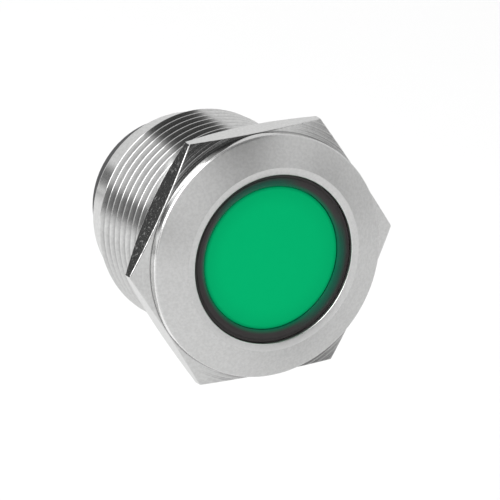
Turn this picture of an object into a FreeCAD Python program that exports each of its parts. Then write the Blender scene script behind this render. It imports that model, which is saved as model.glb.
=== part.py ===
"""A hexagon-headed metal panel pilot light, with a threaded barrel behind the head.

Sizes are in millimetres. The lamp's axis is Y. The lens looks towards -Y, +Z is up, and the
origin lies on the axis in the plane of the head's rear face, which seats on the panel. Every
height below is a distance along Y from that seat: negative in front of the panel, positive
behind it.
"""
import FreeCAD
import Part
import math
import os

V = FreeCAD.Vector
AXIS = V(0, 1, 0)
ORIGIN = V(0, 0, 0)

# Turned metal body: the hexagon head
across_flats = 22.0
head_height = 4.5
opening_radius = 7.58
lip_width = 0.69
lip_dip = 0.07
face_drop = 1.27
boss_step_in = 0.08
boss_height = 0.87
boss_edge_radius = 0.3
front_chamfer_deg = 15.0
rear_land_step_in = 0.1
rear_chamfer_deg = 30.0

# Turned metal body: the threaded barrel and the plain spigot behind it
thread_radius = 9.5
thread_pitch = 1.0
thread_depth_per_pitch = 0.613
relief_width = 0.9
relief_below_root = 0.05
relief_corner_radius = 0.15
seat_undercut_depth = 0.2
seat_undercut_clearance = 0.15
thread_end = 10.9
thread_lead_in = 0.5
spigot_radius = 8.3
spigot_length = 3.1
spigot_edge_radius = 0.25

# Turned metal body: the shoulder behind the lens pocket, and the snap groove near the rear
shoulder_width = 0.58
snap_groove_depth = 0.2
snap_groove_from_rear = 2.3
snap_groove_width = 1.2

# Black ring that frames the lens
ring_clearance = 0.03
ring_recess = 0.3
ring_frame_width = 1.1
ring_flat_width = 0.6
ring_edge_radius = 0.08
lens_recess = 0.25
lens_pocket_wall = 0.55

# Green lens and frosted diffuser
lens_clearance = 0.05
lens_rise = 0.97
lens_flange_thickness = 0.8
lens_edge_radius = 0.1
diffuser_thickness = 0.6

# Flat rubber gasket between the black ring and the shoulder in the body
gasket_thickness = 0.5
gasket_clearance = 0.05

# Light emitting chips: one in the middle, the others on a circle
chip_width = 2.8
chip_length = 3.5
chip_height = 0.7
chip_circle_radius = 3.2
chips_on_circle = 4
chip_dish_radius = 1.15
chip_dish_depth = 0.25
chip_dish_floor_radius = 0.85

# White light cup
inner_clearance = 0.1
cup_length = 4.5
cup_mouth_wall = 0.6
chip_clearance = 0.35

# Circuit boards and the tube that spaces them
board_clearance = 0.15
led_board_thickness = 1.0
spacer_length = 5.4
spacer_wall = 0.8
driver_board_thickness = 1.0

# Parts on the driver board; places are X and Z from the axis
rectifier_size_x = 3.9
rectifier_size_z = 3.6
rectifier_height = 2.2
rectifier_chamfer = 0.25
rectifier_place = (-0.3, -2.75)
rectifier_lead_reach = 0.45
rectifier_lead_width = 0.6
rectifier_lead_thickness = 0.25
rectifier_lead_spacing = 2.0
capacitor_radius = 1.5
capacitor_height = 4.9
capacitor_foot = 3.3
capacitor_foot_height = 0.6
capacitor_foot_chamfer = 0.6
capacitor_waist_depth = 0.15
capacitor_waist_height = 1.1
capacitor_edge_radius = 0.25
capacitor_place = (-0.9, 2.8)
resistor_length = 3.2
resistor_width = 1.6
resistor_height = 0.6
resistor_edge_chamfer = 0.1
resistor_offset = 3.4

# Pins that join the two boards
link_pin_radius = 0.32
link_pin_reach = 4.4
link_pin_angles_deg = (45.0, -45.0)
link_pin_proud = 0.5
hole_clearance = 0.08
solder_height = 0.4
solder_top_radius = 0.42
solder_foot_radius = 0.75

# Black terminal base, snapped into the rear of the body
base_clearance = 0.05
base_proud = 2.8
base_recess_depth = 1.4
base_floor_thickness = 1.8
base_edge_radius = 0.25
base_rim_wall = 0.95
skirt_wall = 0.75
bead_clearance = 0.05
bead_ramp = 0.35
skirt_slot_width = 1.2
skirt_slot_from_rear = 1.0
skirt_slot_count = 4
skirt_slot_first_deg = 45.0

# Terminal tabs, set in resin in the base
tab_spacing = 5.08
tab_width = 2.8
tab_thickness = 0.5
tab_length = 5.0
tab_seat_depth = 0.6
tab_tip_chamfer = 0.6
tab_hole_radius = 0.6
tab_hole_from_tip = 1.7
tab_pin_width = 1.0
tab_pin_proud = 0.6
tab_slot_clearance = 0.03
tab_solder_foot_radius = 0.85
tab_solder_top_radius = 0.6
resin_thickness = 0.9

# How far a cutting shape reaches past what it cuts, and how closely places are matched
cut_margin = 1.0
match_tolerance = 1e-6

# Head and barrel: places that follow from the sizes above
half_flats = across_flats / 2
lip_outer_radius = opening_radius + lip_width
lip_height = -head_height
opening_height = lip_height + lip_dip
boss_radius = half_flats - boss_step_in
boss_edge_height = lip_height + face_drop
boss_foot_height = boss_edge_height + boss_height
rear_land_radius = half_flats - rear_land_step_in
front_chamfer_slope = math.tan(math.radians(front_chamfer_deg))
rear_chamfer_slope = math.tan(math.radians(rear_chamfer_deg))
chamfers_meet_radius = (
    boss_radius * front_chamfer_slope + rear_land_radius * rear_chamfer_slope - boss_foot_height
) / (front_chamfer_slope + rear_chamfer_slope)
chamfers_meet_height = (rear_land_radius - chamfers_meet_radius) * rear_chamfer_slope
thread_root_radius = thread_radius - thread_depth_per_pitch * thread_pitch
relief_radius = thread_root_radius - relief_below_root
seat_inner_radius = thread_radius + seat_undercut_clearance
spigot_end = thread_end + spigot_length
bore_radius = opening_radius - shoulder_width
groove_radius = bore_radius + snap_groove_depth
groove_front = spigot_end - snap_groove_from_rear
groove_rear = groove_front + snap_groove_width

# Lens stack: ring, lens, diffuser and gasket, from the front
ring_outer_radius = opening_radius - ring_clearance
ring_front = opening_height + ring_recess
ring_flat_inner_radius = ring_outer_radius - ring_flat_width
window_radius = ring_outer_radius - ring_frame_width
lens_front = ring_front + lens_recess
lens_flange_front = lens_front + lens_rise
lens_flange_back = lens_flange_front + lens_flange_thickness
lens_pocket_radius = ring_outer_radius - lens_pocket_wall
lens_radius = window_radius - lens_clearance
lens_flange_radius = lens_pocket_radius - lens_clearance
diffuser_back = lens_flange_back + diffuser_thickness
ring_back = diffuser_back
shoulder_height = ring_back + gasket_thickness

# Light cup and boards, behind the diffuser
cup_radius = bore_radius - inner_clearance
cup_front = diffuser_back
cup_back = cup_front + cup_length
chip_reach = math.hypot(chip_circle_radius + chip_width / 2, chip_length / 2)
cup_rear_radius = chip_reach + chip_clearance
board_radius = bore_radius - board_clearance
led_board_back = cup_back + led_board_thickness
spacer_back = led_board_back + spacer_length
driver_board_back = spacer_back + driver_board_thickness

# Base and terminals, at the rear
base_radius = bore_radius - base_clearance
base_end = spigot_end + base_proud
base_floor_rear = base_end - base_recess_depth
base_floor_front = base_floor_rear - base_floor_thickness
base_recess_radius = base_radius - base_rim_wall
skirt_inner_radius = base_radius - skirt_wall
skirt_slot_end = spigot_end - skirt_slot_from_rear
bead_radius = groove_radius - bead_clearance
bead_front = groove_front + bead_clearance
bead_rear = groove_rear - bead_clearance
tab_places = (("plus", tab_spacing / 2), ("minus", -tab_spacing / 2))
tab_shoulder = base_floor_front + tab_seat_depth
tab_end = base_end + tab_length
tab_pin_front = spacer_back - tab_pin_proud
link_pin_front = cup_back - link_pin_proud
link_pin_back = driver_board_back + link_pin_proud
link_pin_places = [
    (link_pin_reach * math.cos(math.radians(a)), link_pin_reach * math.sin(math.radians(a)))
    for a in link_pin_angles_deg
]


def point(corner):
    """A profile corner as a point: its radius along X and its height along Y."""
    return V(corner[0], corner[1], 0)


def profile_face(corners):
    """A face inside corners of (radius, height) or (radius, height, corner radius)."""
    edges = []
    arcs = []
    for i, here in enumerate(corners):
        at = point(here)
        if len(here) == 2:
            arcs.append((at, None, at))
            continue
        back = (point(corners[i - 1]) - at).normalize()
        ahead = (point(corners[(i + 1) % len(corners)]) - at).normalize()
        half_angle = back.getAngle(ahead) / 2
        reach = here[2] / math.tan(half_angle)
        centre = at + (back + ahead).normalize() * (here[2] / math.sin(half_angle))
        middle = centre + (at - centre).normalize() * here[2]
        arcs.append((at + back * reach, middle, at + ahead * reach))
    for i, (start, middle, end) in enumerate(arcs):
        edges.append(Part.makeLine(arcs[i - 1][2], start))
        if middle:
            edges.append(Part.Arc(start, middle, end).toShape())
    return Part.Face(Part.Wire(edges))


def turned(corners):
    """A solid turned about the lamp's axis from its half section."""
    return profile_face(corners).revolve(ORIGIN, AXIS, 360)


def rod(radius, front, back, x=0.0, z=0.0):
    """A round bar along the axis, from one height to another."""
    return Part.makeCylinder(radius, back - front, V(x, front, z), AXIS)


def cone(front_radius, back_radius, front, back, x=0.0, z=0.0):
    """A round taper along the axis."""
    return Part.makeCone(front_radius, back_radius, back - front, V(x, front, z), AXIS)


def block(size_x, size_z, front, back, x=0.0, z=0.0):
    """A box centred on X and Z, from one height to another."""
    return Part.makeBox(size_x, back - front, size_z, V(x - size_x / 2, front, z - size_z / 2))


def edges_along_axis(shape):
    """The straight edges of a shape that run along the lamp's axis."""
    found = []
    for edge in shape.Edges:
        if edge.Curve.TypeId != "Part::GeomLine" or len(edge.Vertexes) != 2:
            continue
        span = edge.Vertexes[1].Point - edge.Vertexes[0].Point
        if abs(span.x) + abs(span.z) < match_tolerance:
            found.append(edge)
    return found


def edges_at_height(shape, height):
    """The edges of a shape that lie in one plane across the axis."""
    return [e for e in shape.Edges if all(abs(v.Point.y - height) < match_tolerance for v in e.Vertexes)]


def hexagon_bar(flats, front, back):
    """A hexagon bar along the axis, with a flat on top and corners to the left and right."""
    radius = flats / 2 / math.cos(math.radians(30))
    ring = []
    for i in range(7):
        turn = math.radians(60 * i)
        ring.append(V(radius * math.cos(turn), front, radius * math.sin(turn)))
    return Part.Face(Part.makePolygon(ring)).extrude(V(0, back - front, 0))


def bezel_body():
    """The one-piece metal shell: turned all over, then cut to a hexagon at the head.

    Where the barrel meets the head, the relief groove runs a little way into the rear face,
    so that the panel bears only on a flat ring outside the thread.
    """
    relief_rise = thread_radius - relief_radius
    shell = turned([
        (opening_radius, opening_height),
        (lip_outer_radius, lip_height),
        (boss_radius, boss_edge_height, boss_edge_radius),
        (boss_radius, boss_foot_height),
        (chamfers_meet_radius, chamfers_meet_height),
        (rear_land_radius, 0),
        (seat_inner_radius, 0),
        (seat_inner_radius - seat_undercut_depth, -seat_undercut_depth),
        (relief_radius, -seat_undercut_depth, relief_corner_radius),
        (relief_radius, relief_width, relief_corner_radius),
        (thread_radius, relief_width + relief_rise),
        (thread_radius, thread_end - thread_lead_in),
        (thread_radius - thread_lead_in, thread_end),
        (spigot_radius, thread_end, relief_corner_radius),
        (spigot_radius, spigot_end, spigot_edge_radius),
        (bore_radius, spigot_end),
        (bore_radius, groove_rear),
        (groove_radius, groove_rear),
        (groove_radius, groove_front),
        (bore_radius, groove_front),
        (bore_radius, shoulder_height),
        (opening_radius, shoulder_height),
    ])
    return shell.common(hexagon_bar(across_flats, lip_height - cut_margin, spigot_end + cut_margin))


def lens_ring():
    """The black ring: a flat front edge, a bevel down to the lens and a pocket behind it."""
    return turned([
        (ring_flat_inner_radius, ring_front),
        (ring_outer_radius, ring_front, ring_edge_radius),
        (ring_outer_radius, ring_back),
        (lens_pocket_radius, ring_back),
        (lens_pocket_radius, lens_flange_front),
        (window_radius, lens_flange_front),
        (window_radius, lens_front),
    ])


def lens():
    """The green lens: a disc in the ring's window, with a flange behind it."""
    return turned([
        (0, lens_front),
        (lens_radius, lens_front, lens_edge_radius),
        (lens_radius, lens_flange_front),
        (lens_flange_radius, lens_flange_front),
        (lens_flange_radius, lens_flange_back),
        (0, lens_flange_back),
    ])


def diffuser():
    """The frosted disc that evens out the light behind the lens."""
    return rod(lens_flange_radius, lens_flange_back, diffuser_back)


def lens_gasket():
    """The flat rubber ring that seals the lens ring on the shoulder in the body."""
    outer = rod(ring_outer_radius, ring_back, shoulder_height)
    return outer.cut(rod(bore_radius + gasket_clearance, ring_back, shoulder_height))


def light_cup():
    """The white tube whose tapered bore gathers the light of the chips."""
    return turned([
        (cup_radius - cup_mouth_wall, cup_front),
        (cup_radius, cup_front),
        (cup_radius, cup_back),
        (cup_rear_radius, cup_back),
    ])


def link_holes(front, back):
    """The holes that the link pins pass through in a board."""
    radius = link_pin_radius + hole_clearance
    return [rod(radius, front, back, x, z) for x, z in link_pin_places]


def led_board():
    """The round board that carries the chips."""
    return rod(board_radius, cup_back, led_board_back).cut(link_holes(cup_back, led_board_back))


def led_chip(x, z, turn_deg):
    """One chip: a square white body with a shallow round dish in its face."""
    body = block(chip_width, chip_length, cup_back - chip_height, cup_back)
    dish_floor = cup_back - chip_height + chip_dish_depth
    dish = cone(chip_dish_radius, chip_dish_floor_radius, cup_back - chip_height, dish_floor)
    chip = body.cut(dish)
    chip.rotate(ORIGIN, AXIS, turn_deg)
    chip.translate(V(x, 0, z))
    return chip


def led_chips():
    """All the chips by name: the middle one and those on the circle."""
    chips = {"led_chip_centre": led_chip(0, 0, 0)}
    for i in range(chips_on_circle):
        turn = 360 * i / chips_on_circle
        x = chip_circle_radius * math.cos(math.radians(turn))
        z = chip_circle_radius * math.sin(math.radians(turn))
        chips[f"led_chip_{i + 1}"] = led_chip(x, z, -turn)
    return chips


def board_spacer():
    """The plastic tube that holds the two boards apart."""
    outer = rod(cup_radius, led_board_back, spacer_back)
    return outer.cut(rod(cup_radius - spacer_wall, led_board_back, spacer_back))


def driver_board():
    """The rear board, with holes for the link pins and the terminal pins."""
    hole = tab_pin_width / 2 + hole_clearance
    holes = link_holes(spacer_back, driver_board_back)
    for _, x in tab_places:
        holes.append(rod(hole, spacer_back, driver_board_back, x))
    return rod(board_radius, spacer_back, driver_board_back).cut(holes)


def bridge_rectifier():
    """The moulded rectifier with its four short leads, on the driver board's front."""
    x, z = rectifier_place
    front = spacer_back - rectifier_height
    body = block(rectifier_size_x, rectifier_size_z, front, spacer_back, x, z)
    body = body.makeChamfer(rectifier_chamfer, edges_at_height(body, front))
    reach = rectifier_size_x + 2 * rectifier_lead_reach
    foot = spacer_back - rectifier_lead_thickness
    for side in (-1, 1):
        lead_z = z + side * rectifier_lead_spacing / 2
        body = body.fuse(block(reach, rectifier_lead_width, foot, spacer_back, x, lead_z))
    return body.removeSplitter()


def smoothing_capacitor():
    """The can capacitor: a square foot with cut corners, a waist and a rounded top."""
    x, z = capacitor_place
    foot_front = spacer_back - capacitor_foot_height
    foot = block(capacitor_foot, capacitor_foot, foot_front, spacer_back)
    foot = foot.makeChamfer(capacitor_foot_chamfer, edges_along_axis(foot))
    waist = foot_front - capacitor_waist_height
    can = turned([
        (0, spacer_back - capacitor_height),
        (capacitor_radius, spacer_back - capacitor_height, capacitor_edge_radius),
        (capacitor_radius, waist - capacitor_waist_depth),
        (capacitor_radius - capacitor_waist_depth, waist),
        (capacitor_radius, waist + capacitor_waist_depth),
        (capacitor_radius, foot_front),
        (0, foot_front),
    ])
    whole = can.fuse(foot).removeSplitter()
    whole.translate(V(x, 0, z))
    return whole


def resistor(z):
    """A chip resistor on the driver board's rear."""
    rear = driver_board_back + resistor_height
    body = block(resistor_length, resistor_width, driver_board_back, rear, 0, z)
    return body.makeChamfer(resistor_edge_chamfer, edges_at_height(body, rear))


def link_pin(x, z):
    """A pin that joins the two boards."""
    return rod(link_pin_radius, link_pin_front, link_pin_back, x, z)


def tab_pin_cut(x, front, back, clearance=0.0):
    """The space of a terminal's narrow pin."""
    width = tab_pin_width + 2 * clearance
    thickness = tab_thickness + 2 * clearance
    return block(thickness, width, front, back, x)


def tab_blade_cut(x, front, back, clearance=0.0):
    """The space of a terminal's wide blade."""
    width = tab_width + 2 * clearance
    thickness = tab_thickness + 2 * clearance
    return block(thickness, width, front, back, x)


def solder_joints():
    """The six solder fillets: both link pins on both boards, and both terminal pins."""
    joints = []
    for x, z in link_pin_places:
        front = cone(solder_top_radius, solder_foot_radius, cup_back - solder_height, cup_back, x, z)
        rear_end = driver_board_back + solder_height
        rear = cone(solder_foot_radius, solder_top_radius, driver_board_back, rear_end, x, z)
        pin = link_pin(x, z)
        joints += [front.cut(pin), rear.cut(pin)]
    for _, x in tab_places:
        front = spacer_back - solder_height
        fillet = cone(tab_solder_top_radius, tab_solder_foot_radius, front, spacer_back, x)
        joints.append(fillet.cut(tab_pin_cut(x, front, spacer_back)))
    return Part.makeCompound(joints)


def rear_base():
    """The black terminal base: a slotted skirt with a snap bead, a floor and a rear recess."""
    base = turned([
        (skirt_inner_radius, driver_board_back),
        (base_radius, driver_board_back),
        (base_radius, bead_front),
        (bead_radius, bead_front + bead_ramp),
        (bead_radius, bead_rear - bead_ramp),
        (base_radius, bead_rear),
        (base_radius, base_end, base_edge_radius),
        (base_recess_radius, base_end),
        (base_recess_radius, base_floor_rear),
        (0, base_floor_rear),
        (0, base_floor_front),
        (skirt_inner_radius, base_floor_front),
    ])
    cuts = []
    for i in range(skirt_slot_count // 2):
        across = 2 * (bead_radius + cut_margin)
        slot = block(across, skirt_slot_width, driver_board_back, skirt_slot_end)
        slot.rotate(ORIGIN, AXIS, skirt_slot_first_deg + 360 * i / skirt_slot_count)
        cuts.append(slot)
    for _, x in tab_places:
        cuts.append(tab_pin_cut(x, base_floor_front, tab_shoulder, tab_slot_clearance))
        cuts.append(tab_blade_cut(x, tab_shoulder, base_floor_rear, tab_slot_clearance))
    return base.cut(cuts)


def terminal(x):
    """A terminal tab: a wide blade with a hole at its tip, and a narrow pin to the board."""
    blade = tab_blade_cut(x, tab_shoulder, tab_end)
    tip = []
    for edge in edges_at_height(blade, tab_end):
        span = edge.Vertexes[1].Point - edge.Vertexes[0].Point
        if abs(span.z) < match_tolerance:
            tip.append(edge)
    blade = blade.makeChamfer(tab_tip_chamfer, tip)
    hole_at = V(x - tab_thickness, tab_end - tab_hole_from_tip, 0)
    hole = Part.makeCylinder(tab_hole_radius, 2 * tab_thickness, hole_at, V(1, 0, 0))
    pin = tab_pin_cut(x, tab_pin_front, tab_shoulder)
    return blade.cut(hole).fuse(pin).removeSplitter()


def rear_resin():
    """The resin poured into the base's recess round the two tabs."""
    back = base_floor_rear + resin_thickness
    disc = rod(base_recess_radius, base_floor_rear, back)
    return disc.cut([tab_blade_cut(x, base_floor_rear, back) for _, x in tab_places])


def build():
    """Every piece of the lamp by its node name."""
    parts = {
        "bezel_body": bezel_body(),
        "lens_ring": lens_ring(),
        "lens": lens(),
        "diffuser": diffuser(),
        "lens_gasket": lens_gasket(),
        "light_cup": light_cup(),
        "led_board": led_board(),
        "board_spacer": board_spacer(),
        "driver_board": driver_board(),
        "bridge_rectifier": bridge_rectifier(),
        "smoothing_capacitor": smoothing_capacitor(),
        "resistor_1": resistor(resistor_offset),
        "resistor_2": resistor(-resistor_offset),
        "solder_joints": solder_joints(),
        "rear_base": rear_base(),
        "rear_resin": rear_resin(),
    }
    parts.update(led_chips())
    for i, (x, z) in enumerate(link_pin_places):
        parts[f"link_pin_{i + 1}"] = link_pin(x, z)
    for name, x in tab_places:
        parts[f"terminal_{name}"] = terminal(x)
    return parts


os.makedirs("parts", exist_ok=True)
for node, shape in build().items():
    if not shape.isValid():
        raise ValueError(f"{node} is not a valid solid")
    shape.exportStep(f"parts/{node}.step")
    print(node, "solids", len(shape.Solids), "volume", round(shape.Volume, 2))
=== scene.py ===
"""The looks of a hexagon-headed metal panel pilot light, on its packed model.

Places are in metres in the packed model's own frame: the lamp's axis is Y, the lens looks
towards -Y, +Z is up, and the origin lies on the axis in the plane of the head's rear face.
Sizes below are written in millimetres and angles in degrees, and turned to metres and radians.
"""

import math

import bpy
from bpy.props import FloatProperty, FloatVectorProperty, IntProperty, PointerProperty
from mathutils import Matrix, Quaternion, Vector


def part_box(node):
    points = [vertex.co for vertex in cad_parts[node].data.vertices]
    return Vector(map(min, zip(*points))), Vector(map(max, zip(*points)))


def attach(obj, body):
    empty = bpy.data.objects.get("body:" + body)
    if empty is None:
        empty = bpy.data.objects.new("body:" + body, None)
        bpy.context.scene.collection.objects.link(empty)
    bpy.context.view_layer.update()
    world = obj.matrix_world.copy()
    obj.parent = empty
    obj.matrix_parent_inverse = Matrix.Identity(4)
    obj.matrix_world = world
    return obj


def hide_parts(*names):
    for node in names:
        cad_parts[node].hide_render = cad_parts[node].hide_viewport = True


bl_info = {
    "name": "Panel pilot light",
    "version": (1, 0, 0),
    "blender": (4, 5, 0),
    "location": "View3D > Sidebar > Pilot light",
    "description": "Models and finishes a metal panel pilot light and its studio",
    "category": "Add Mesh",
}

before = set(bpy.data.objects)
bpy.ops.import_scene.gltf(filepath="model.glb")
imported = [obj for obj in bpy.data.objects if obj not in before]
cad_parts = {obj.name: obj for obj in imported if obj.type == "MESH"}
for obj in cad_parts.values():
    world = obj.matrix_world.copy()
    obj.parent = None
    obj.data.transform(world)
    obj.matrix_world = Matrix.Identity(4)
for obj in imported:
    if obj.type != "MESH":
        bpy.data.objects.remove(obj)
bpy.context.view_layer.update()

MM = 0.001
TO_MM = 1 / MM
AXIS = Vector((0, 1, 0))
FULL_TURN = 2 * math.pi
BODY = "root"

# Edges sharper than this stay crisp when a piece is smoothed
CREASE = math.radians(17)
# Points nearer than this become one when a spun shape is closed
WELD = 0.00002 * MM
# Steps of a full turn in spun shapes, and straight pieces in a rounded corner
TURN_STEPS = 360
CORNER_STEPS = 6
# How far the thread's cutter stands out of the crests, how little it lifts off them where its
# rounded mouth ends, and that end's place in crest roundings beyond the mouth
PROUD = 0.1 * MM
CREST_LIFT = 0.002 * MM
MOUTH_REACH = 0.6
# The black ring's rounding above its ledge, as a share of the ledge's drop
LEDGE_ROUND = 0.7
# Where the hexagon's flats face, as turns about the axis from +X towards +Z
FLAT_TURNS = [math.radians(30 + 60 * i) for i in range(6)]
# Nearest and farthest that the camera sees
CAMERA_CLIP = (10 * MM, 3000 * MM)

# Moulded and coated finishes of the packed pieces: colour, roughness, depth of the skin in
# millimetres, and the nodes
MOULDED_FINISHES = {
    "potting_resin": ((0.012, 0.012, 0.013), 0.12, 0.002, ["rear_resin"]),
    "frosted_disc": ((0.86, 0.87, 0.85), 0.6, 0.004, ["diffuser"]),
    "seal_rubber": ((0.02, 0.02, 0.02), 0.7, 0.004, ["lens_gasket"]),
    "white_cup": ((0.88, 0.88, 0.86), 0.45, 0.004, ["light_cup"]),
    "lamp_board": ((0.8, 0.8, 0.78), 0.35, 0.004, ["led_board"]),
    "driver_board": ((0.02, 0.16, 0.06), 0.3, 0.004, ["driver_board"]),
    "spacer_plastic": ((0.75, 0.74, 0.7), 0.5, 0.004, ["board_spacer"]),
    "chip_body": (
        (0.85, 0.8, 0.45), 0.4, 0.004, ["led_chip_centre"] + [f"led_chip_{i}" for i in range(1, 5)]
    ),
    "black_epoxy": ((0.03, 0.03, 0.032), 0.5, 0.004, ["bridge_rectifier"]),
    "resistor_ceramic": ((0.05, 0.05, 0.055), 0.3, 0.004, ["resistor_1", "resistor_2"]),
}
# Their drawn, cast and tinned metals: colour, roughness, marks in a millimetre along X, Y and Z,
# and the nodes
METAL_FINISHES = {
    "tinned_tab": ((0.72, 0.71, 0.69), 0.2, (3.0, 0.6, 3.0), ["terminal_plus", "terminal_minus"]),
    "can_metal": ((0.8, 0.8, 0.81), 0.18, (2.0, 0.4, 2.0), ["smoothing_capacitor"]),
    "solder": ((0.72, 0.72, 0.73), 0.2, (2.0, 2.0, 2.0), ["solder_joints"]),
    "pin_metal": ((0.8, 0.66, 0.36), 0.2, (6.0, 0.8, 6.0), ["link_pin_1", "link_pin_2"]),
}

# Dark things in the studio: azimuth, elevation, radius of the dark core and of its soft edge in
# degrees, and the share of the light that each takes away
DARK_PATCHES = (
    (12, 6, 9, 19, 0.93),
    (17, 51, 18, 23, 0.93),
    (51, 4, 9, 18, 0.5),
    (-38, 3, 8, 13.5, 0.75),
    (-151, 10, 5, 11, 0.93),
    (113, 82, 22, 29, 0.6),
    (-90, 5, 10, 15, 0.7),
)
# Painted shade on the floor, which the metal mirrors: a painted shadow under the lamp, painted shade
# ahead of it and a painted dark spot at the front right. X, Y, radius of the core and of its soft
# edge in millimetres, how strong it is, and its grey
PAINTED_FLOOR_SHADE = (
    (0, 0, 70, 150, 1.0, 0.7),
    (-80, -165, 40, 130, 0.4, 0.5),
    (42, -54, 10, 36, 0.85, 0.05),
)


def reach(node):
    """A packed node's radius about the lamp's axis."""
    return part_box(node)[1].x


def front(node):
    """The height of a packed node's front end."""
    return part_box(node)[0].y


def back(node):
    """The height of a packed node's rear end."""
    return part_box(node)[1].y


def top(node):
    """How far a packed node reaches up from the lamp's axis."""
    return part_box(node)[1].z


def length(name, description, value):
    """A size property with its default in millimetres."""
    return FloatProperty(
        name=name, description=description, default=value * MM, unit="LENGTH", precision=5
    )


def angle(name, description, degrees):
    """An angle property with its default in degrees."""
    return FloatProperty(
        name=name, description=description, default=math.radians(degrees), unit="ROTATION"
    )


def colour(name, description, value):
    """A colour property."""
    return FloatVectorProperty(
        name=name, description=description, default=value, size=3, subtype="COLOR"
    )


class ShellSizes(bpy.types.PropertyGroup):
    """Sizes of the turned metal shell."""

    lip_width: length("Lip width", "Flat lip round the opening", 0.69)
    lip_dip: length("Lip dip", "How far the lip falls towards the opening", 0.07)
    lip_edge: length("Lip edge", "Rounding of the lip's outer edge", 0.05)
    opening_edge: length("Opening edge", "Rounding of the lip's inner edge", 0.12)
    face_drop: length("Face drop", "Fall of the cone face from the lip to the boss edge", 1.27)
    boss_step_in: length("Boss step", "How far the round boss stays inside the flats", 0.08)
    boss_height: length("Boss height", "Straight wall of the boss in front of the corners", 0.87)
    boss_edge_radius: length("Boss edge radius", "Rounding of the boss's front edge", 0.3)
    front_chamfer: angle("Front chamfer", "Slope of the corner chamfers in front", 15)
    rear_chamfer: angle("Rear chamfer", "Slope of the corner chamfers behind", 30)
    rear_land_step_in: length("Rear land step", "How far the rear land stays inside the flats", 0.1)
    arris: length("Arris", "Broken edge round each flat of the hexagon", 0.07)
    opening_radius: length("Opening radius", "Hole in the front that holds the black ring", 7.58)
    shoulder_width: length("Shoulder width", "Step behind the lens pocket", 0.58)
    relief_width: length("Relief width", "Groove between head and thread", 0.9)
    relief_below_root: length("Relief depth", "How far that groove lies below the thread's roots", 0.05)
    relief_corner: length("Relief corner", "Rounding in the corners of the groove", 0.15)
    undercut: length("Seat undercut", "How far the groove runs into the head", 0.2)
    undercut_clearance: length("Undercut clearance", "Seat ring outside the thread", 0.15)
    thread_end: length("Thread end", "Height where the thread's lead-in ends", 10.9)
    thread_lead_in: length("Thread lead-in", "Chamfer at the thread's rear end", 0.5)
    spigot_radius: length("Spigot radius", "Plain rear end of the shell", 8.3)
    spigot_edge: length("Spigot edge", "Rounding of the rear edge", 0.25)
    groove_depth: length("Snap groove depth", "Groove in the bore for the base", 0.2)
    groove_from_rear: length("Snap groove place", "Front of that groove, from the rear end", 2.3)
    groove_width: length("Snap groove width", "Width of that groove", 1.2)


class ThreadSizes(bpy.types.PropertyGroup):
    """Sizes of the fine thread."""

    radius: length("Thread radius", "Over the crests", 9.5)
    pitch: length("Pitch", "From crest to crest", 1.0)
    depth: length("Depth", "From crest to root", 0.613)
    root_width: length("Root width", "Flat at the bottom of the groove", 0.17)
    flank: angle("Flank", "Lean of each flank from a plane across the axis", 30)
    crest_round: length("Crest rounding", "Rounding of the crests' edges", 0.08)
    start: angle("Start", "Turn of the thread about the axis", 81)
    steps: IntProperty(name="Steps a turn", description="Facets in a turn of the thread", default=180)


class LensSizes(bpy.types.PropertyGroup):
    """Sizes of the black ring and the green lens."""

    ring_flat_width: length("Ring flat width", "Flat front edge of the black ring", 0.6)
    ring_frame_width: length("Ring frame width", "From the ring's outside to its window", 1.1)
    ring_edge_radius: length("Ring edge radius", "Rounding of the ring's outer edge", 0.08)
    ring_inner_edge: length("Ring inner edge", "Rounding where the flat turns into the bevel", 0.06)
    ledge_width: length("Ledge width", "Low ledge round the ring's outside", 0.3)
    ledge_drop: length("Ledge drop", "How far that ledge lies below the flat", 0.08)
    pocket_wall: length("Pocket wall", "Wall round the lens's flange", 0.55)
    clearance: length("Lens clearance", "Gap round the lens", 0.05)
    rise: length("Lens rise", "From the lens's face to its flange", 0.97)
    edge_radius: length("Lens edge radius", "Rounding of the lens's face", 0.1)


class MarkSizes(bpy.types.PropertyGroup):
    """Marks on the plated metal."""

    coarse: length("Coarse marks", "Distance between the coarse turning marks", 0.16)
    fine: length("Fine marks", "Distance between the fine turning marks", 0.035)
    turned_depth: length("Turning depth", "Depth of the turning marks", 0.006)
    chamfer: length("Chamfer marks", "Distance between the marks on the corner chamfers", 0.22)
    chamfer_depth: length("Chamfer mark depth", "Depth of the marks on the corner chamfers", 0.03)
    satin_depth: length("Satin depth", "Depth of the satin grain in front", 0.003)
    scuff_height: length("Scuff height", "Height of the scuffs on the flats", 0.0035)


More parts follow.
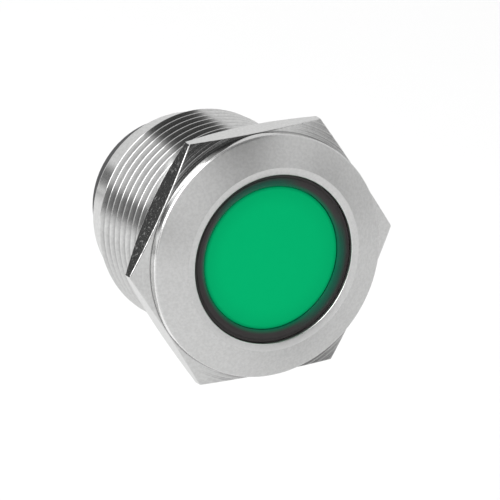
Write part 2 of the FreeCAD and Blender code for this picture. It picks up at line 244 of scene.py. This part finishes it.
class Finishes(bpy.types.PropertyGroup):
    """Colours of the finishes that show."""

    metal: colour("Plated metal", "Nickel plate where it is darkest", (0.478, 0.478, 0.475))
    metal_light: colour("Light metal", "Nickel plate where it is lightest", (0.67, 0.67, 0.666))
    # A painted highlight on the lip
    lip: colour("Lip", "Cleaner plate on the lip", (0.8, 0.8, 0.795))
    # A painted highlight on the boss's wall
    wall: colour("Boss wall", "Polished plate on the boss's wall", (0.9, 0.9, 0.895))
    root: colour("Thread root", "Shaded plate in the thread's roots", (0.12, 0.12, 0.12))
    foot: colour("Boss foot", "Shaded plate at the foot of the boss", (0.15, 0.15, 0.15))
    ring: colour("Black ring", "Plastic of the ring where it is darkest", (0.036, 0.034, 0.034))
    ring_light: colour("Light ring", "The same where it is lightest", (0.041, 0.037, 0.037))
    # Painted reflection and painted glow of the lens's green light on the black ring
    ring_sheen: colour("Ring sheen", "The lens's green across the ring's bevel", (0.0, 0.078, 0.048))
    ring_glow: colour("Ring glow", "The lens's green next to the window", (0.0, 0.12, 0.06))
    lens: colour("Green lens", "Body colour of the lens", (0.0, 0.30, 0.105))
    lens_cloud: colour("Lens cloud", "Body colour where the lens is cloudy", (0.0, 0.27, 0.1))
    # Painted shade at the lens's edge
    lens_edge_shade: colour("Lens rim", "Body colour at the lens's edge", (0.0, 0.14, 0.055))
    lens_glow: colour("Lens depth", "Light that comes back out of the lens", (0.0, 0.165, 0.055))
    rim_glow: colour("Rim depth", "Light that comes back at the lens's edge", (0.0, 0.05, 0.02))
    base: colour("Black base", "Moulded plastic of the base", (0.02, 0.02, 0.021))
    floor: colour("Floor", "The floor where it is darkest", (0.735, 0.735, 0.735))
    floor_light: colour("Light floor", "The floor where it is lightest", (0.745, 0.745, 0.745))


class StudioSettings(bpy.types.PropertyGroup):
    """The camera's place and the light."""

    azimuth: angle("Camera azimuth", "Camera's turn about +Z from straight in front", -25.951)
    elevation: angle("Camera elevation", "Camera's height above the horizon", 18.41)
    roll: angle("Camera roll", "Camera's turn about its own line of sight", -2.512)
    distance: length("Camera distance", "From the camera to its aim", 300)
    across: length("Width seen", "Width of the picture at the lamp", 43.275)
    aim_right: length("Aim right", "Middle of the picture, right of the origin", -0.046)
    aim_up: length("Aim up", "Middle of the picture, above the origin", -0.346)
    surround: FloatProperty(
        name="Surround", description="Brightness of the studio's walls", default=1.0
    )
    floor_drop: length("Floor drop", "Floor below the lamp's axis", 60)
    floor_size: length("Floor size", "Side of the square floor", 4000)
    box_azimuth: angle("Softbox azimuth", "Softbox's turn about +Z from straight in front", -92)
    box_elevation: angle("Softbox elevation", "Softbox's height above the horizon", 46)
    box_distance: length("Softbox distance", "From the softbox to the origin", 800)
    box_width: length("Softbox width", "Width of the softbox", 900)
    box_height: length("Softbox height", "Height of the softbox", 800)
    box_power: FloatProperty(
        name="Softbox power", description="Power of the softbox", default=9.0, unit="POWER"
    )


GROUPS = {
    "lamp_shell": ShellSizes,
    "lamp_thread": ThreadSizes,
    "lamp_lens": LensSizes,
    "lamp_marks": MarkSizes,
    "lamp_finishes": Finishes,
    "lamp_studio": StudioSettings,
}


class Wire:
    """A node's output in an expression: arithmetic on it adds Math nodes to its tree."""

    def __init__(self, shade, socket):
        self.shade = shade
        self.socket = socket

    def take(self, output):
        """Another output of the same node."""
        return Wire(self.shade, self.socket.node.outputs[output])

    def __add__(self, other):
        return self.shade.math("ADD", self, other)

    def __radd__(self, other):
        return self.shade.math("ADD", other, self)

    def __sub__(self, other):
        return self.shade.math("SUBTRACT", self, other)

    def __rsub__(self, other):
        return self.shade.math("SUBTRACT", other, self)

    def __mul__(self, other):
        return self.shade.math("MULTIPLY", self, other)

    def __rmul__(self, other):
        return self.shade.math("MULTIPLY", other, self)

    def __truediv__(self, other):
        return self.shade.math("DIVIDE", self, other)

    def __abs__(self):
        return self.shade.math("ABSOLUTE", self)


class Shade:
    """A node tree under construction."""

    MIX_A = 6
    MIX_B = 7
    MIX_RESULT = 2

    def __init__(self, tree):
        self.tree = tree
        tree.nodes.clear()

    def node(self, kind, inputs=None, output=0, **settings):
        """A node of one kind: its settings first, then the values or links of its sockets."""
        made = self.tree.nodes.new(kind)
        for name, value in settings.items():
            setattr(made, name, value)
        for name, value in (inputs or {}).items():
            if isinstance(value, Wire):
                self.tree.links.new(value.socket, made.inputs[name])
            else:
                made.inputs[name].default_value = value
        return Wire(self, made.outputs[output]) if made.outputs else made

    def math(self, operation, *values):
        """A Math node on wires and numbers."""
        return self.node("ShaderNodeMath", dict(enumerate(values)), operation=operation)

    def vector(self, operation, *values, output=0):
        """A Vector Math node on wires and vectors."""
        return self.node("ShaderNodeVectorMath", dict(enumerate(values)), output, operation=operation)

    def scaled(self, vector, factor):
        """A vector times a number."""
        return self.node("ShaderNodeVectorMath", {0: vector, "Scale": factor}, operation="SCALE")

    def combine(self, x, y, z):
        """A vector from its three parts."""
        return self.node("ShaderNodeCombineXYZ", {0: x, 1: y, 2: z})

    def step(self, value, low, high):
        """0 below low, 1 above high, and a smooth rise between."""
        limits = {"Value": value, "From Min": low, "From Max": high}
        return self.node("ShaderNodeMapRange", limits, interpolation_type="SMOOTHSTEP")

    def noise(self, place, scale=1.0, detail=2.0, roughness=0.5):
        """Soft noise between 0 and 1."""
        inputs = {"Vector": place, "Scale": scale, "Detail": detail, "Roughness": roughness}
        return self.node("ShaderNodeTexNoise", inputs)

    def blend(self, factor, a, b):
        """One colour going over to another."""
        inputs = {0: factor, self.MIX_A: rgba(a), self.MIX_B: rgba(b)}
        return self.node("ShaderNodeMix", inputs, self.MIX_RESULT, data_type="RGBA")

    def bump(self, height, distance, under=None):
        """A relief of the given depth in metres."""
        inputs = {"Strength": 1.0, "Distance": distance, "Height": height}
        if under is not None:
            inputs["Normal"] = under
        return self.node("ShaderNodeBump", inputs)

    def surface(self, **sockets):
        """The finished surface, with its sockets named as words joined by underscores."""
        inputs = {name.replace("_", " "): value for name, value in sockets.items()}
        shader = self.node("ShaderNodeBsdfPrincipled", inputs)
        self.node("ShaderNodeOutputMaterial", {"Surface": shader})


def rgba(value):
    """A colour with its alpha, where it isn't a link."""
    return value if isinstance(value, Wire) else (*value, 1.0)


class Place:
    """Where a point of the surface lies, in millimetres."""

    def __init__(self, shade):
        local = shade.node("ShaderNodeTexCoord").take("Object")
        self.point = shade.scaled(local, TO_MM)
        parts = shade.node("ShaderNodeSeparateXYZ", {0: self.point})
        self.x = parts.take("X")
        self.y = parts.take("Y")
        self.z = parts.take("Z")
        flat = shade.combine(self.x, 0.0, self.z)
        self.radius = shade.vector("LENGTH", flat, output="Value")
        self.around = shade.vector("NORMALIZE", flat)


def new_material(name):
    """An empty node-based material, its node tree and the place nodes."""
    made = bpy.data.materials.new(name)
    made.use_nodes = True
    shade = Shade(made.node_tree)
    return made, shade, Place(shade)


def turned_marks(shade, place, spacing, detail=1.0):
    """Marks of a turning tool: slightly uneven rings about the axis, the given distance apart."""
    apart = spacing * TO_MM
    along = shade.combine(place.radius / apart, place.y / apart, 0.0)
    wander = shade.scaled(place.around, 0.35)
    return shade.noise(shade.vector("ADD", along, wander), 1.0, detail, 0.6)


def hexagon_reach(shade, place):
    """Distance from the axis across the flats, in millimetres."""
    slant = FLAT_TURNS[0]
    slanted = abs(place.x) * math.cos(slant) + abs(place.z) * math.sin(slant)
    return shade.math("MAXIMUM", slanted, abs(place.z))


def outwards(turn):
    """The direction away from the axis at a turn from +X towards +Z."""
    return Vector((math.cos(turn), 0, math.sin(turn)))


def lobe(shade, place, degrees, low, high):
    """1 towards one side of the lamp, given as a turn about its axis, and 0 elsewhere."""
    side = outwards(math.radians(degrees))
    return shade.step(shade.vector("DOT_PRODUCT", place.around, side, output="Value"), low, high)


class ShellZones:
    """Masks of the metal shell's zones: 1 inside and 0 outside, with soft limits in millimetres."""

    def __init__(self, shade, place, shell, thread):
        half_flats = top("bezel_body") * TO_MM
        boss = half_flats - shell.boss_step_in * TO_MM
        face_end = (front("bezel_body") + shell.face_drop) * TO_MM
        wall_end = face_end + shell.boss_height * TO_MM
        lip_end = (shell.opening_radius + shell.lip_width) * TO_MM
        groove_end = shell.relief_width * TO_MM
        lead_in = (shell.thread_end - shell.thread_lead_in) * TO_MM
        crest = thread.radius * TO_MM
        root = crest - thread.depth * TO_MM

        past_face = shade.step(place.y, face_end - 0.07, face_end + 0.13)
        past_wall = shade.step(place.y, wall_end - 0.06, wall_end)
        at_boss = shade.step(place.radius, boss - 0.05, boss - 0.02)
        threaded = shade.step(place.y, groove_end + 0.2, groove_end + 0.4)
        threaded = threaded * (1 - shade.step(place.y, lead_in - 0.1, lead_in + 0.1))
        near_foot = shade.step(place.y, wall_end - 0.14, wall_end - 0.06)
        near_foot = near_foot * (1 - shade.step(place.y, wall_end - 0.01, wall_end + 0.03))

        self.flat = shade.step(hexagon_reach(shade, place), half_flats - 0.02, half_flats - 0.005)
        self.face = 1 - past_face
        self.behind = shade.step(place.y, 0.0, 0.2)
        self.chamfer = past_wall * (1 - self.behind) * (1 - self.flat)
        self.lip = self.face * (1 - shade.step(place.radius, lip_end - 0.06, lip_end + 0.02))
        self.wall = past_face * (1 - past_wall) * at_boss
        self.foot = near_foot * at_boss
        self.root = threaded * (1 - shade.step(place.radius, root + 0.1, crest - 0.02))


def plated_metal(scene):
    """Nickel-plated brass: turned all over, satin in front, brighter behind, with drawn flats."""
    made, shade, place = new_material("plated_metal")
    marks = scene.lamp_marks
    colours = scene.lamp_finishes
    on = ShellZones(shade, place, scene.lamp_shell, scene.lamp_thread)
    coarse = turned_marks(shade, place, marks.coarse)
    fine = turned_marks(shade, place, marks.fine)
    chamfer = turned_marks(shade, place, marks.chamfer, 2.0)
    grain = shade.step(shade.noise(place.point, 4.0, 3.0, 0.6), 0.35, 0.65)
    satin = shade.noise(place.point, 14.0, 2.0, 0.7)
    scuffs = shade.step(shade.noise(place.point, 4.0, 3.0, 0.7), 0.58, 0.74)
    fans = shade.noise(shade.scaled(place.around, 9.0), 1.0, 2.0, 0.6)

    turned = (coarse * 0.6 + fine * 0.4) * (1 - on.flat) * (1 - on.behind * 0.8)
    relief = shade.bump(turned, marks.turned_depth)
    relief = shade.bump((chamfer - 0.5) * on.chamfer, marks.chamfer_depth, relief)
    relief = shade.bump((satin - 0.5) * on.face, marks.satin_depth, relief)
    relief = shade.bump(scuffs * on.flat, marks.scuff_height, relief)

    # Painted highlights: the lip is lightened most below the opening, and the boss's wall on the left
    lip = on.lip * (0.22 + lobe(shade, place, -75, 0.2, 0.9) * 0.25)
    # Painted highlight on the boss's wall, on its left
    wall = on.wall * lobe(shade, place, 170, 0.45, 0.7)
    # Random grain and the coarse turning marks are the plate's own tone; fans adds painted streaks of
    # reflected light round the axis, and in the roughness it is real
    tone = 0.1 + grain * 0.3 + fans * 0.12 + coarse * 0.08
    metal = shade.blend(tone, colours.metal, colours.metal_light)
    metal = shade.blend(lip, metal, colours.lip)
    metal = shade.blend(wall * 0.5, metal, colours.wall)
    metal = shade.blend(on.root * 0.55, metal, colours.root)
    metal = shade.blend(on.foot * 0.8, metal, colours.foot)
    shade.surface(
        Base_Color=metal,
        Metallic=1.0,
        Roughness=0.1 + on.face * 0.2 + fans * 0.04 + on.behind * 0.02,
        Normal=relief,
    )
    return made


def gloss_black(colours, window):
    """Moulded plastic of the ring round the lens, with a painted reflection of the lens's green light
    in its bevel and a painted green glow next to the window.
    """
    made, shade, place = new_material("gloss_black")
    ripple = shade.noise(place.point, 1.4)
    # The painted green reflection shows across the whole bevel at the top and at the lower right
    above = lobe(shade, place, 102, 0.75, 0.97)
    beside = lobe(shade, place, -25, 0.6, 0.95) * 0.85
    # Painted glow of the lens's green light next to the window
    near = 1 - shade.step(place.radius, window - 0.02, window + 0.42)
    far = 1 - shade.step(place.radius, window + 0.35, window + 0.95)
    sheen = far * shade.math("MAXIMUM", above, beside) * 0.95
    black = shade.blend(ripple, colours.ring, colours.ring_light)
    tinted = shade.blend(sheen, black, colours.ring_sheen)
    shade.surface(
        Base_Color=shade.blend(near, tinted, colours.ring_glow),
        Roughness=0.14 + ripple * 0.08,
        Specular_IOR_Level=0.12,
        Normal=shade.bump(ripple, 0.002 * MM),
    )
    return made


def green_lens(colours, radius):
    """Dyed translucent plastic with a satin face and painted shade at its edge."""
    made, shade, place = new_material("green_lens")
    cloud = shade.noise(place.point, 0.5)
    edge = shade.step(place.radius, radius - 0.35, radius)
    # Painted shade at the lens's edge: the body colour goes darker there, and the light from within
    # falls off towards the edge
    rim = shade.step(place.radius, radius - 2.0, radius + 0.4) * 0.25 + edge * 0.6
    body = shade.blend(cloud * 0.25, colours.lens, colours.lens_cloud)
    shade.surface(
        Base_Color=shade.blend(rim * 0.6, body, colours.lens_edge_shade),
        Roughness=0.35 + cloud * 0.1,
        Specular_IOR_Level=0.02,
        Emission_Color=shade.blend(rim, colours.lens_glow, colours.rim_glow),
        Emission_Strength=1.0,
    )
    return made


def moulded(name, plain, roughness, depth):
    """A moulded or coated surface with a soft mottle and a skin texture, its depth in millimetres."""
    made, shade, place = new_material(name)
    skin = shade.noise(place.point, 3.0, 3.0, 0.55)
    cloud = shade.noise(place.point, 0.4)
    darker = [part * 0.88 for part in plain]
    shade.surface(
        Base_Color=shade.blend(cloud * 0.5 + skin * 0.5, darker, plain),
        Roughness=roughness + (skin - 0.5) * 0.12,
        Normal=shade.bump(skin, depth * MM),
    )
    return made


def bright_metal(name, plain, roughness, stretch):
    """A drawn, cast or tinned metal; stretch draws its marks out along X, Y and Z."""
    made, shade, place = new_material(name)
    marks = shade.noise(shade.vector("MULTIPLY", place.point, stretch), 1.0, 3.0, 0.6)
    stain = shade.noise(place.point, 0.7, 3.0)
    duller = [part * 0.8 for part in plain]
    shade.surface(
        Base_Color=shade.blend(stain * 0.6 + marks * 0.4, duller, plain),
        Metallic=1.0,
        Roughness=roughness + stain * 0.12 + marks * 0.06,
        Normal=shade.bump(marks, 0.004 * MM),
    )
    return made


def select_only(chosen):
    """Deselects everything, then selects one object and makes it active."""
    bpy.ops.object.select_all(action="DESELECT")
    chosen.select_set(True)
    bpy.context.view_layer.objects.active = chosen


def rounded(corners):
    """Profile corners of (radius, height) or (radius, height, rounding), with the arcs drawn."""
    drawn = []
    for i, here in enumerate(corners):
        at = Vector(here[:2])
        if len(here) == 2:
            drawn.append(at)
            continue
        before = (Vector(corners[i - 1][:2]) - at).normalized()
        after = (Vector(corners[(i + 1) % len(corners)][:2]) - at).normalized()
        half = before.angle(after) / 2
        centre = at + (before + after).normalized() * (here[2] / math.sin(half))
        start = at + before * (here[2] / math.tan(half)) - centre
        sweep = start.angle_signed(at + after * (here[2] / math.tan(half)) - centre)
        for k in range(CORNER_STEPS + 1):
            turn = Matrix.Rotation(-sweep * k / CORNER_STEPS, 2)
            drawn.append(centre + turn @ start)
    return drawn


def drawn_outline(name, corners):
    """A closed outline in the XY plane: one point, extruded from corner to corner."""
    points = rounded(corners)
    bpy.ops.object.select_all(action="DESELECT")
    bpy.ops.mesh.primitive_plane_add(size=MM, location=(*points[0], 0))
    made = bpy.context.object
    made.name = name
    bpy.ops.object.transform_apply(location=True)
    bpy.ops.object.mode_set(mode="EDIT")
    bpy.ops.mesh.select_mode(type="VERT")
    bpy.ops.mesh.select_all(action="SELECT")
    bpy.ops.mesh.merge(type="CENTER")
    for start, end in zip(points, points[1:]):
        step = (*(end - start), 0)
        bpy.ops.mesh.extrude_region_move(TRANSFORM_OT_translate={"value": step})
    bpy.ops.mesh.select_all(action="DESELECT")
    bpy.ops.object.mode_set(mode="OBJECT")
    ends = [Vector((*points[i], 0)) for i in (0, -1)]
    for vertex in made.data.vertices:
        vertex.select = any((vertex.co - end).length < WELD for end in ends)
    bpy.ops.object.mode_set(mode="EDIT")
    bpy.ops.mesh.edge_face_add()
    bpy.ops.mesh.select_all(action="SELECT")
    return made


def spun(name, corners):
    """A closed solid turned about the lamp's axis from its half section; stays in edit mode."""
    made = drawn_outline(name, corners)
    bpy.ops.mesh.spin(steps=TURN_STEPS, angle=FULL_TURN, center=(0, 0, 0), axis=AXIS)
    bpy.ops.mesh.select_all(action="SELECT")
    bpy.ops.mesh.remove_doubles(threshold=WELD)
    bpy.ops.mesh.normals_make_consistent(inside=False)
    return made


def finish_piece(piece, slot, material, *nodes):
    """Smooths a piece, gives it its material and puts it on the frame in its nodes' place."""
    if bpy.context.mode != "OBJECT":
        bpy.ops.object.mode_set(mode="OBJECT")
    select_only(piece)
    bpy.ops.object.shade_smooth_by_angle(angle=CREASE)
    bpy.ops.object.modifier_add(type="WEIGHTED_NORMAL")
    even = piece.modifiers[-1]
    even.keep_sharp = True
    even.thresh = 0
    bpy.ops.object.modifier_apply(modifier=even.name)
    piece.data.materials.clear()
    piece.data.materials.append(material)
    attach(piece, BODY)
    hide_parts(*nodes)


def give(material, *nodes):
    """Puts a material on packed nodes."""
    for node in nodes:
        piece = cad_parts[node]
        if not piece.data.materials:
            piece.data.materials.append(material)
        piece.material_slots[0].link = "OBJECT"
        piece.material_slots[0].material = material


def shell_outline(shell, thread):
    """Half section of the metal shell, from the opening round the outside and up the bore."""
    half_flats = top("bezel_body")
    lip = front("bezel_body")
    end = back("bezel_body")
    opening = lip + shell.lip_dip
    boss = half_flats - shell.boss_step_in
    boss_edge = lip + shell.face_drop
    boss_foot = boss_edge + shell.boss_height
    land = half_flats - shell.rear_land_step_in
    front_slope = math.tan(shell.front_chamfer)
    rear_slope = math.tan(shell.rear_chamfer)
    meet_radius = (boss * front_slope + land * rear_slope - boss_foot) / (front_slope + rear_slope)
    meet_height = (land - meet_radius) * rear_slope
    crest = thread.radius
    groove = crest - thread.depth - shell.relief_below_root
    bore = shell.opening_radius - shell.shoulder_width
    seat_inner = crest + shell.undercut_clearance
    snap = bore + shell.groove_depth
    snap_front = end - shell.groove_from_rear
    snap_rear = snap_front + shell.groove_width
    shoulder = back("lens_gasket")
    return [
        (shell.opening_radius, opening, shell.opening_edge),
        (shell.opening_radius + shell.lip_width, lip, shell.lip_edge),
        (boss, boss_edge, shell.boss_edge_radius),
        (boss, boss_foot),
        (meet_radius, meet_height),
        (land, 0),
        (seat_inner, 0),
        (seat_inner - shell.undercut, -shell.undercut),
        (groove, -shell.undercut, shell.relief_corner),
        (groove, shell.relief_width, shell.relief_corner),
        (crest, shell.relief_width + crest - groove),
        (crest, shell.thread_end - shell.thread_lead_in),
        (crest - shell.thread_lead_in, shell.thread_end),
        (shell.spigot_radius, shell.thread_end, shell.relief_corner),
        (shell.spigot_radius, end, shell.spigot_edge),
        (bore, end),
        (bore, snap_rear),
        (snap, snap_rear),
        (snap, snap_front),
        (bore, snap_front),
        (bore, shoulder),
        (shell.opening_radius, shoulder),
    ]


def cut_flats(piece, arris):
    """Six saw cuts make the hexagon, then the edges round each flat are broken."""
    half_flats = top("bezel_body")
    normals = [outwards(turn) for turn in FLAT_TURNS]
    for normal in normals:
        bpy.ops.mesh.select_all(action="SELECT")
        bpy.ops.mesh.bisect(
            plane_co=normal * half_flats,
            plane_no=normal,
            use_fill=True,
            clear_outer=True,
            threshold=WELD,
        )
    bpy.ops.mesh.select_all(action="DESELECT")
    bpy.ops.object.mode_set(mode="OBJECT")
    limit = half_flats - 2 * WELD
    for edge in piece.data.edges:
        ends = [piece.data.vertices[v].co for v in edge.vertices]
        edge.select = any(all(end.dot(normal) > limit for end in ends) for normal in normals)
    bpy.ops.object.mode_set(mode="EDIT")
    bpy.ops.mesh.select_mode(type="EDGE")
    bpy.ops.mesh.bevel(offset=arris, segments=2, affect="EDGES", clamp_overlap=True)


def groove_outline(shell, thread):
    """Section of the thread's groove, with mouth edges that round the crests beside it."""
    root = thread.radius - thread.depth
    half_root = thread.root_width / 2
    half_mouth = half_root + thread.depth * math.tan(thread.flank)
    shoulder = half_mouth + thread.crest_round * MOUTH_REACH
    side = [
        (root, half_root),
        (thread.radius, half_mouth, thread.crest_round),
        (thread.radius + CREST_LIFT, shoulder),
        (thread.radius + PROUD, shoulder),
    ]
    middle = shell.relief_width / 2
    lower = [(r, middle - h, *rounding) for r, h, *rounding in side]
    upper = [(r, middle + h, *rounding) for r, h, *rounding in reversed(side)]
    return lower + upper


def thread_cutter(shell, thread):
    """The helical groove as a solid, a little proud of the crests."""
    cutter = drawn_outline("thread_cutter", groove_outline(shell, thread))
    bpy.ops.object.mode_set(mode="OBJECT")
    turns = math.ceil((shell.thread_end - shell.relief_width / 2) / thread.pitch + 1)
    bpy.ops.object.modifier_add(type="SCREW")
    screw = cutter.modifiers[-1]
    screw.axis = "Y"
    screw.angle = FULL_TURN
    screw.screw_offset = thread.pitch
    screw.iterations = turns
    screw.steps = thread.steps
    screw.render_steps = thread.steps
    bpy.ops.object.modifier_apply(modifier=screw.name)
    bpy.ops.object.mode_set(mode="EDIT")
    bpy.ops.mesh.select_all(action="DESELECT")
    bpy.ops.mesh.select_non_manifold()
    bpy.ops.mesh.fill_holes(sides=0)
    bpy.ops.mesh.select_all(action="SELECT")
    bpy.ops.mesh.normals_make_consistent(inside=False)
    bpy.ops.object.mode_set(mode="OBJECT")
    cutter.data.transform(Matrix.Rotation(thread.start, 4, "Y"))
    return cutter


def subtract(piece, cutter):
    """Cuts one shape out of another and removes the cutter."""
    select_only(piece)
    bpy.ops.object.modifier_add(type="BOOLEAN")
    cut = piece.modifiers[-1]
    cut.operation = "DIFFERENCE"
    cut.solver = "MANIFOLD"
    cut.object = cutter
    bpy.ops.object.modifier_apply(modifier=cut.name)
    bpy.data.objects.remove(cutter)


class PILOT_OT_shell(bpy.types.Operator):
    """Make the one-piece metal shell, with its hexagon head and helical thread"""

    bl_idname = "pilot.shell"
    bl_label = "Metal shell"

    def execute(self, context):
        scene = context.scene
        shell = spun("metal_shell", shell_outline(scene.lamp_shell, scene.lamp_thread))
        cut_flats(shell, scene.lamp_shell.arris)
        bpy.ops.object.mode_set(mode="OBJECT")
        subtract(shell, thread_cutter(scene.lamp_shell, scene.lamp_thread))
        finish_piece(shell, "plated_body", plated_metal(scene), "bezel_body")
        return {"FINISHED"}


class PILOT_OT_ring(bpy.types.Operator):
    """Make the black ring that frames the lens"""

    bl_idname = "pilot.ring"
    bl_label = "Lens ring"

    def execute(self, context):
        sizes = context.scene.lamp_lens
        outer = reach("lens_ring")
        ring_front = front("lens_ring")
        lens_front = front("lens")
        flange = lens_front + sizes.rise
        window = outer - sizes.ring_frame_width
        pocket = outer - sizes.pocket_wall
        ledge = outer - sizes.ledge_width
        ring = spun("lens_frame", [
            (outer - sizes.ring_flat_width, ring_front, sizes.ring_inner_edge),
            (ledge, ring_front, sizes.ledge_drop * LEDGE_ROUND),
            (ledge, ring_front + sizes.ledge_drop),
            (outer, ring_front + sizes.ledge_drop, sizes.ring_edge_radius),
            (outer, back("lens_ring")),
            (pocket, back("lens_ring")),
            (pocket, flange),
            (window, flange),
            (window, lens_front, sizes.ring_inner_edge),
        ])
        black = gloss_black(context.scene.lamp_finishes, window * TO_MM)
        finish_piece(ring, "black_ring", black, "lens_ring")
        return {"FINISHED"}


class PILOT_OT_lens(bpy.types.Operator):
    """Make the flat green lens with its flange"""

    bl_idname = "pilot.lens"
    bl_label = "Green lens"

    def execute(self, context):
        sizes = context.scene.lamp_lens
        outer = reach("lens_ring")
        window = outer - sizes.ring_frame_width - sizes.clearance
        flange_radius = outer - sizes.pocket_wall - sizes.clearance
        lens_front = front("lens")
        flange = lens_front + sizes.rise
        lens = spun("lens_disc", [
            (0, lens_front),
            (window, lens_front, sizes.edge_radius),
            (window, flange),
            (flange_radius, flange),
            (flange_radius, back("lens")),
            (0, back("lens")),
        ])
        green = green_lens(context.scene.lamp_finishes, window * TO_MM)
        finish_piece(lens, "green_lens", green, "lens")
        return {"FINISHED"}


class PILOT_OT_finishes(bpy.types.Operator):
    """Give every piece that keeps its packed shape its own finish"""

    bl_idname = "pilot.finishes"
    bl_label = "Finishes of the packed pieces"

    def execute(self, context):
        give(moulded("base_plastic", context.scene.lamp_finishes.base, 0.42, 0.004), "rear_base")
        for name, (plain, roughness, depth, nodes) in MOULDED_FINISHES.items():
            give(moulded(name, plain, roughness, depth), *nodes)
        for name, (plain, roughness, stretch, nodes) in METAL_FINISHES.items():
            give(bright_metal(name, plain, roughness, stretch), *nodes)
        return {"FINISHED"}


def direction(azimuth, elevation):
    """The direction of a place in the studio, from radians; azimuth 0 is in front of the lens."""
    flat = math.cos(elevation)
    return Vector((math.sin(azimuth) * flat, -math.cos(azimuth) * flat, math.sin(elevation)))


def dark_patch(shade, look, azimuth, elevation, core, edge, share):
    """What is left of the light where something dark stands in the studio."""
    centre = direction(math.radians(azimuth), math.radians(elevation))
    near = shade.vector("DOT_PRODUCT", look, centre, output="Value")
    return 1 - shade.step(near, math.cos(math.radians(edge)), math.cos(math.radians(core))) * share


def studio_walls(surround):
    """Even pale walls, with a few dark gaps that give the metal its contrast."""
    world = bpy.data.worlds.new("studio_walls")
    bpy.context.scene.world = world
    world.use_nodes = True
    shade = Shade(world.node_tree)
    look = shade.node("ShaderNodeTexCoord").take("Generated")
    light = surround
    for patch in DARK_PATCHES:
        light = light * dark_patch(shade, look, *patch)
    walls = shade.node("ShaderNodeBackground", {"Color": rgba((1, 1, 1)), "Strength": light})
    shade.node("ShaderNodeOutputWorld", {"Surface": walls})


def pale_floor(colours):
    """Matt pale floor with a few soft patches of painted shade."""
    made, shade, place = new_material("pale_floor")
    pale = shade.blend(shade.noise(place.point, 0.02), colours.floor, colours.floor_light)
    # Painted shade: darker patches on the floor that the metal mirrors
    for x, y, core, edge, strength, grey in PAINTED_FLOOR_SHADE:
        away = shade.vector("DISTANCE", place.point, (x, y, 0), output="Value")
        pale = shade.blend((1 - shade.step(away, core, edge)) * strength, pale, (grey, grey, grey))
    shade.surface(Base_Color=pale, Roughness=0.8)
    return made


def lay_floor(studio, colours):
    """A large floor well below the lamp, so that the lamp casts no hard shadow on it."""
    bpy.ops.object.select_all(action="DESELECT")
    bpy.ops.mesh.primitive_plane_add(size=studio.floor_size, location=(0, 0, -studio.floor_drop))
    floor = bpy.context.object
    floor.name = "studio_floor"
    floor.data.materials.append(pale_floor(colours))


def hang_softbox(studio):
    """A soft rectangular lamp on the left that looks at the origin."""
    away = direction(studio.box_azimuth, studio.box_elevation)
    bpy.ops.object.light_add(type="AREA", location=away * studio.box_distance)
    lamp = bpy.context.object
    lamp.name = "left_softbox"
    lamp.rotation_mode = "QUATERNION"
    lamp.rotation_quaternion = away.to_track_quat("Z", "Y")
    lamp.data.shape = "RECTANGLE"
    lamp.data.size = studio.box_width
    lamp.data.size_y = studio.box_height
    lamp.data.energy = studio.box_power


def place_camera(studio):
    """A camera without perspective, at the photograph's viewing angle."""
    away = direction(studio.azimuth, studio.elevation)
    turn = away.to_track_quat("Z", "Y") @ Quaternion((0, 0, 1), studio.roll)
    aim = turn @ Vector((studio.aim_right, studio.aim_up, 0))
    bpy.ops.object.camera_add(location=aim + away * studio.distance)
    camera = bpy.context.object
    camera.rotation_mode = "QUATERNION"
    camera.rotation_quaternion = turn
    camera.data.type = "ORTHO"
    camera.data.ortho_scale = studio.across
    camera.data.clip_start, camera.data.clip_end = CAMERA_CLIP
    bpy.context.scene.camera = camera


class PILOT_OT_studio(bpy.types.Operator):
    """Set up the floor, the soft light and the camera"""

    bl_idname = "pilot.studio"
    bl_label = "Studio"

    def execute(self, context):
        studio = context.scene.lamp_studio
        lay_floor(studio, context.scene.lamp_finishes)
        studio_walls(studio.surround)
        hang_softbox(studio)
        place_camera(studio)
        context.scene.view_settings.view_transform = "Standard"
        return {"FINISHED"}


STEPS = (PILOT_OT_shell, PILOT_OT_ring, PILOT_OT_lens, PILOT_OT_finishes, PILOT_OT_studio)


class PILOT_PT_panel(bpy.types.Panel):
    """The pilot light's steps in order, with its sizes and colours."""

    bl_idname = "PILOT_PT_panel"
    bl_label = "Panel pilot light"
    bl_space_type = "VIEW_3D"
    bl_region_type = "UI"
    bl_category = "Pilot light"

    def draw(self, context):
        for step in STEPS:
            self.layout.operator(step.bl_idname)
        for group, kind in GROUPS.items():
            box = self.layout.box()
            box.label(text=kind.__doc__)
            for size in kind.__annotations__:
                box.prop(getattr(context.scene, group), size)


def register():
    """Registers the sizes, the steps and the panel."""
    for kind in (*GROUPS.values(), *STEPS, PILOT_PT_panel):
        bpy.utils.register_class(kind)
    for group, kind in GROUPS.items():
        setattr(bpy.types.Scene, group, PointerProperty(type=kind))


def unregister():
    """Takes them out again."""
    for group in GROUPS:
        delattr(bpy.types.Scene, group)
    for kind in (PILOT_PT_panel, *reversed(STEPS), *reversed(GROUPS.values())):
        bpy.utils.unregister_class(kind)


def main():
    """Builds the whole lamp and its studio."""
    register()
    bpy.ops.pilot.studio()
    bpy.ops.pilot.shell()
    bpy.ops.pilot.ring()
    bpy.ops.pilot.lens()
    bpy.ops.pilot.finishes()


if __name__ == "__main__":
    main()
